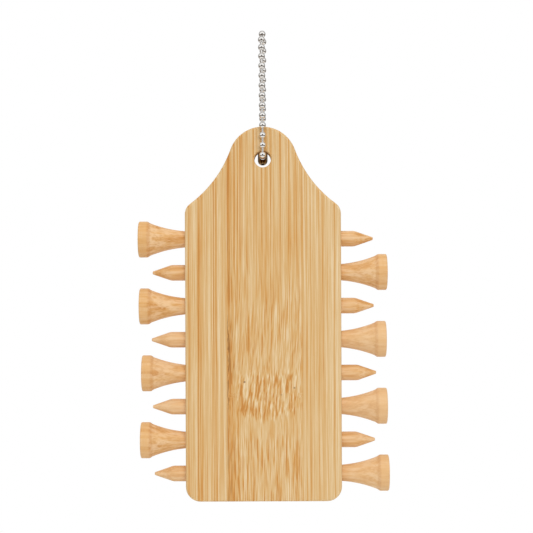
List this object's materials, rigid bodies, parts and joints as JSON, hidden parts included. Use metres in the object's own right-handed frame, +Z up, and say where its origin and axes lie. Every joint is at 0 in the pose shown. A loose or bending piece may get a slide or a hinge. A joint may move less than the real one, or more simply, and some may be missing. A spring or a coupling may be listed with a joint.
{
  "type": "golf tee holder",
  "caption": "Bamboo tag holding wooden golf tees pushed through from both sides, hung on a ball chain with a snap connector.",
  "frame": {"origin": "underside of the chain's top bead, where a hook or ring carries the holder", "axes": "+Z up, +X to the right as seen from the front, +Y towards the back, where the connector is"},
  "size_m": [0.0878, 0.0164, 0.1656],
  "materials": {
    "bamboo_left": "satin",
    "bamboo_center": "satin",
    "bamboo_right": "satin",
    "tee_wood": "satin",
    "bead_nickel": "polished",
    "pin_steel": "polished",
    "connector_steel": "polished"
  },
  "bodies": {
    "chain_top": {"bead_top": "bead_nickel"},
    "chain_row_1": {"bead_front_1": "bead_nickel", "bead_back_1": "bead_nickel", "pins_row_1": "pin_steel"},
    "chain_row_2": {"bead_front_2": "bead_nickel", "bead_back_2": "bead_nickel", "pins_row_2": "pin_steel"},
    "chain_row_3": {"bead_front_3": "bead_nickel", "bead_back_3": "bead_nickel", "pins_row_3": "pin_steel"},
    "chain_row_4": {"bead_front_4": "bead_nickel", "bead_back_4": "bead_nickel", "pins_row_4": "pin_steel"},
    "chain_row_5": {"bead_front_5": "bead_nickel", "bead_back_5": "bead_nickel", "pins_row_5": "pin_steel"},
    "chain_row_6": {"bead_front_6": "bead_nickel", "bead_back_6": "bead_nickel", "pins_row_6": "pin_steel"},
    "chain_row_7": {"bead_front_7": "bead_nickel", "bead_back_7": "bead_nickel", "pins_row_7": "pin_steel"},
    "chain_row_8": {"bead_front_8": "bead_nickel", "bead_back_8": "bead_nickel", "pins_row_8": "pin_steel"},
    "chain_row_9": {"bead_front_9": "bead_nickel", "bead_back_9": "bead_nickel", "pins_row_9": "pin_steel"},
    "chain_row_10": {"bead_front_10": "bead_nickel", "bead_back_10": "bead_nickel", "pins_row_10": "pin_steel"},
    "chain_at_board": {"bead_front_11": "bead_nickel", "bead_front_12": "bead_nickel", "bead_front_13": "bead_nickel", "bead_in_hole_1": "bead_nickel", "bead_in_hole_2": "bead_nickel", "bead_in_hole_3": "bead_nickel", "connector_bead_upper": "bead_nickel", "connector_bead_lower": "bead_nickel", "pins_at_board": "pin_steel", "chain_connector": "connector_steel"},
    "board": {"board_left_strip": "bamboo_left", "board_center_strip": "bamboo_center", "board_right_strip": "bamboo_right"},
    "tee_1": {"tee_1": "tee_wood"},
    "tee_2": {"tee_2": "tee_wood"},
    "tee_3": {"tee_3": "tee_wood"},
    "tee_4": {"tee_4": "tee_wood"},
    "tee_5": {"tee_5": "tee_wood"},
    "tee_6": {"tee_6": "tee_wood"},
    "tee_7": {"tee_7": "tee_wood"},
    "tee_8": {"tee_8": "tee_wood"}
  },
  "joints": [
    {"name": "chain_bend_1", "type": "hinge", "parent": "chain_top", "child": "chain_row_1", "pos_m": [0, 0, 0.00046], "axis": [0, 1, 0], "range_deg": [-8, 8]},
    {"name": "chain_bend_2", "type": "hinge", "parent": "chain_row_1", "child": "chain_row_2", "pos_m": [0, 0, -0.00207], "axis": [0, 1, 0], "range_deg": [-8, 8]},
    {"name": "chain_bend_3", "type": "hinge", "parent": "chain_row_2", "child": "chain_row_3", "pos_m": [0, 0, -0.00513], "axis": [0, 1, 0], "range_deg": [-8, 8]},
    {"name": "chain_bend_4", "type": "hinge", "parent": "chain_row_3", "child": "chain_row_4", "pos_m": [0, 0, -0.00844], "axis": [0, 1, 0], "range_deg": [-8, 8]},
    {"name": "chain_bend_5", "type": "hinge", "parent": "chain_row_4", "child": "chain_row_5", "pos_m": [0, 0, -0.01187], "axis": [0, 1, 0], "range_deg": [-8, 8]},
    {"name": "chain_bend_6", "type": "hinge", "parent": "chain_row_5", "child": "chain_row_6", "pos_m": [0, 0, -0.01533], "axis": [0, 1, 0], "range_deg": [-8, 8]},
    {"name": "chain_bend_7", "type": "hinge", "parent": "chain_row_6", "child": "chain_row_7", "pos_m": [0, 0, -0.01879], "axis": [0, 1, 0], "range_deg": [-8, 8]},
    {"name": "chain_bend_8", "type": "hinge", "parent": "chain_row_7", "child": "chain_row_8", "pos_m": [0, 0, -0.02226], "axis": [0, 1, 0], "range_deg": [-8, 8]},
    {"name": "chain_bend_9", "type": "hinge", "parent": "chain_row_8", "child": "chain_row_9", "pos_m": [0, 0, -0.02573], "axis": [0, 1, 0], "range_deg": [-8, 8]},
    {"name": "chain_bend_10", "type": "hinge", "parent": "chain_row_9", "child": "chain_row_10", "pos_m": [0, 0, -0.0292], "axis": [0, 1, 0], "range_deg": [-8, 8]},
    {"name": "chain_bend_11", "type": "hinge", "parent": "chain_row_10", "child": "chain_at_board", "pos_m": [0, 0, -0.03266], "axis": [0, 1, 0], "range_deg": [-8, 8]},
    {"name": "board_swing", "type": "hinge", "parent": "chain_at_board", "child": "board", "pos_m": [0, 0, -0.0433], "axis": [0, -1, 0], "range_deg": [-90, 90]},
    {"name": "tee_1_pull", "type": "slide", "parent": "board", "child": "tee_1", "axis": [-1, 0, 0], "range_m": [0, 0.07]},
    {"name": "tee_2_pull", "type": "slide", "parent": "board", "child": "tee_2", "axis": [1, 0, 0], "range_m": [0, 0.07]},
    {"name": "tee_3_pull", "type": "slide", "parent": "board", "child": "tee_3", "axis": [-1, 0, 0], "range_m": [0, 0.07]},
    {"name": "tee_4_pull", "type": "slide", "parent": "board", "child": "tee_4", "axis": [1, 0, 0], "range_m": [0, 0.07]},
    {"name": "tee_5_pull", "type": "slide", "parent": "board", "child": "tee_5", "axis": [-1, 0, 0], "range_m": [0, 0.07]},
    {"name": "tee_6_pull", "type": "slide", "parent": "board", "child": "tee_6", "axis": [1, 0, 0], "range_m": [0, 0.07]},
    {"name": "tee_7_pull", "type": "slide", "parent": "board", "child": "tee_7", "axis": [-1, 0, 0], "range_m": [0, 0.07]},
    {"name": "tee_8_pull", "type": "slide", "parent": "board", "child": "tee_8", "axis": [1, 0, 0], "range_m": [0, 0.07]}
  ]
}
